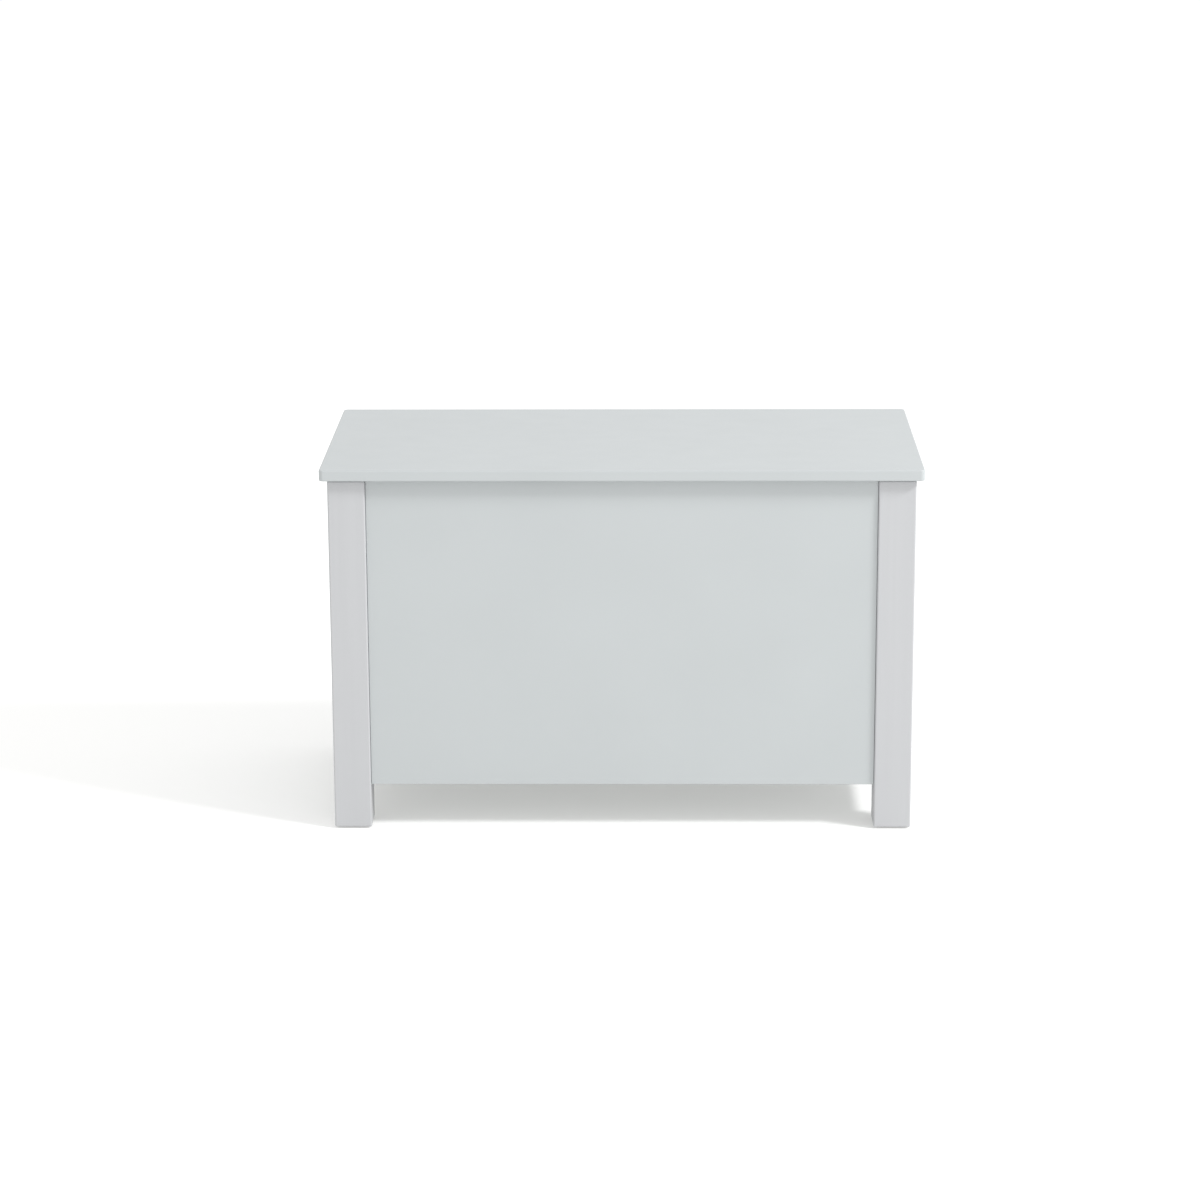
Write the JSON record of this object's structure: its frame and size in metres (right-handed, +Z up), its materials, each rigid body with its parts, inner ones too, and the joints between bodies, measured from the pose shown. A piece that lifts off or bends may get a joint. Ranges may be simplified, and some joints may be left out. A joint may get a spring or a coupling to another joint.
{
  "type": "toy box",
  "caption": "Pale painted wooden toy box on square corner legs, with a flat overhanging lid on rear hinges that two telescopic struts hold open.",
  "frame": {"origin": "on the floor, under the middle of the whole object's bounding box", "axes": "+X along the box to the right as seen from the front, +Y to the back where the hinges are, +Z up"},
  "size_m": [0.8, 0.4056, 0.5],
  "materials": {
    "painted_board": "satin pale grey paint on board",
    "painted_post": "satin pale grey paint on solid wood",
    "zinc_plated_steel": "bright zinc plate",
    "zinc_alloy": "dull die-cast zinc",
    "bright_rod": "ground and polished",
    "black_tube": "satin black paint",
    "black_nylon": "moulded, fine matt grain",
    "white_nylon": "moulded, smooth",
    "clear_rubber": "soft, clear to milky"
  },
  "bodies": {
    "box": {"front_left_leg": "painted_post", "rear_left_leg": "painted_post", "front_left_glide": "white_nylon", "rear_left_glide": "white_nylon", "left_lid_bumper": "clear_rubber", "left_wall": "painted_board", "front_left_lower_cam": "zinc_alloy", "front_left_lower_cam_bolt": "zinc_plated_steel", "front_left_upper_cam": "zinc_alloy", "front_left_upper_cam_bolt": "zinc_plated_steel", "back_left_lower_cam": "zinc_alloy", "back_left_lower_cam_bolt": "zinc_plated_steel", "back_left_upper_cam": "zinc_alloy", "back_left_upper_cam_bolt": "zinc_plated_steel", "left_hinge_back_leaf": "zinc_plated_steel", "left_hinge_pin": "zinc_plated_steel", "left_hinge_back_outer_screw": "zinc_plated_steel", "left_hinge_back_inner_screw": "zinc_plated_steel", "left_leg_stud": "zinc_plated_steel", "front_right_leg": "painted_post", "rear_right_leg": "painted_post", "front_right_glide": "white_nylon", "rear_right_glide": "white_nylon", "right_lid_bumper": "clear_rubber", "right_wall": "painted_board", "front_right_lower_cam": "zinc_alloy", "front_right_lower_cam_bolt": "zinc_plated_steel", "front_right_upper_cam": "zinc_alloy", "front_right_upper_cam_bolt": "zinc_plated_steel", "back_right_lower_cam": "zinc_alloy", "back_right_lower_cam_bolt": "zinc_plated_steel", "back_right_upper_cam": "zinc_alloy", "back_right_upper_cam_bolt": "zinc_plated_steel", "right_hinge_back_leaf": "zinc_plated_steel", "right_hinge_pin": "zinc_plated_steel", "right_hinge_back_outer_screw": "zinc_plated_steel", "right_hinge_back_inner_screw": "zinc_plated_steel", "right_leg_stud": "zinc_plated_steel", "front_wall": "painted_board", "back_wall": "painted_board", "base_panel": "painted_board"},
    "lid": {"lid": "painted_board", "left_hinge_lid_leaf": "zinc_plated_steel", "left_hinge_lid_outer_screw": "zinc_plated_steel", "left_hinge_lid_inner_screw": "zinc_plated_steel", "left_lid_bracket": "zinc_plated_steel", "left_bracket_front_screw": "zinc_plated_steel", "left_bracket_rear_screw": "zinc_plated_steel", "right_hinge_lid_leaf": "zinc_plated_steel", "right_hinge_lid_outer_screw": "zinc_plated_steel", "right_hinge_lid_inner_screw": "zinc_plated_steel", "right_lid_bracket": "zinc_plated_steel", "right_bracket_front_screw": "zinc_plated_steel", "right_bracket_rear_screw": "zinc_plated_steel"},
    "left_tube": {"left_strut_tube": "black_tube"},
    "left_rod": {"left_strut_rod": "bright_rod", "left_rod_socket": "black_nylon"},
    "right_tube": {"right_strut_tube": "black_tube"},
    "right_rod": {"right_strut_rod": "bright_rod", "right_rod_socket": "black_nylon"}
  },
  "joints": [
    {"name": "lid_hinge", "type": "hinge", "parent": "box", "child": "lid", "pos_m": [0, 0.20015, 0.482], "axis": [-1, 0, 0], "range_deg": [0, 85]},
    {"name": "left_tube_pivot", "type": "hinge", "parent": "box", "child": "left_tube", "pos_m": [-0.327, 0.16415, 0.3261], "axis": [-1, 0, 0], "range_deg": [0, 42.5]},
    {"name": "left_rod_pivot", "type": "hinge", "parent": "lid", "child": "left_rod", "pos_m": [-0.327, 0.04035, 0.474], "axis": [-1, 0, 0], "range_deg": [-42.5, 0]},
    {"name": "right_tube_pivot", "type": "hinge", "parent": "box", "child": "right_tube", "pos_m": [0.327, 0.16415, 0.3261], "axis": [-1, 0, 0], "range_deg": [0, 42.5]},
    {"name": "right_rod_pivot", "type": "hinge", "parent": "lid", "child": "right_rod", "pos_m": [0.327, 0.04035, 0.474], "axis": [-1, 0, 0], "range_deg": [-42.5, 0]}
  ],
  "couplings": [
    {"joint": "left_tube_pivot", "follows": "lid_hinge", "ratio": 0.5},
    {"joint": "left_rod_pivot", "follows": "lid_hinge", "ratio": -0.5},
    {"joint": "right_tube_pivot", "follows": "lid_hinge", "ratio": 0.5},
    {"joint": "right_rod_pivot", "follows": "lid_hinge", "ratio": -0.5}
  ]
}
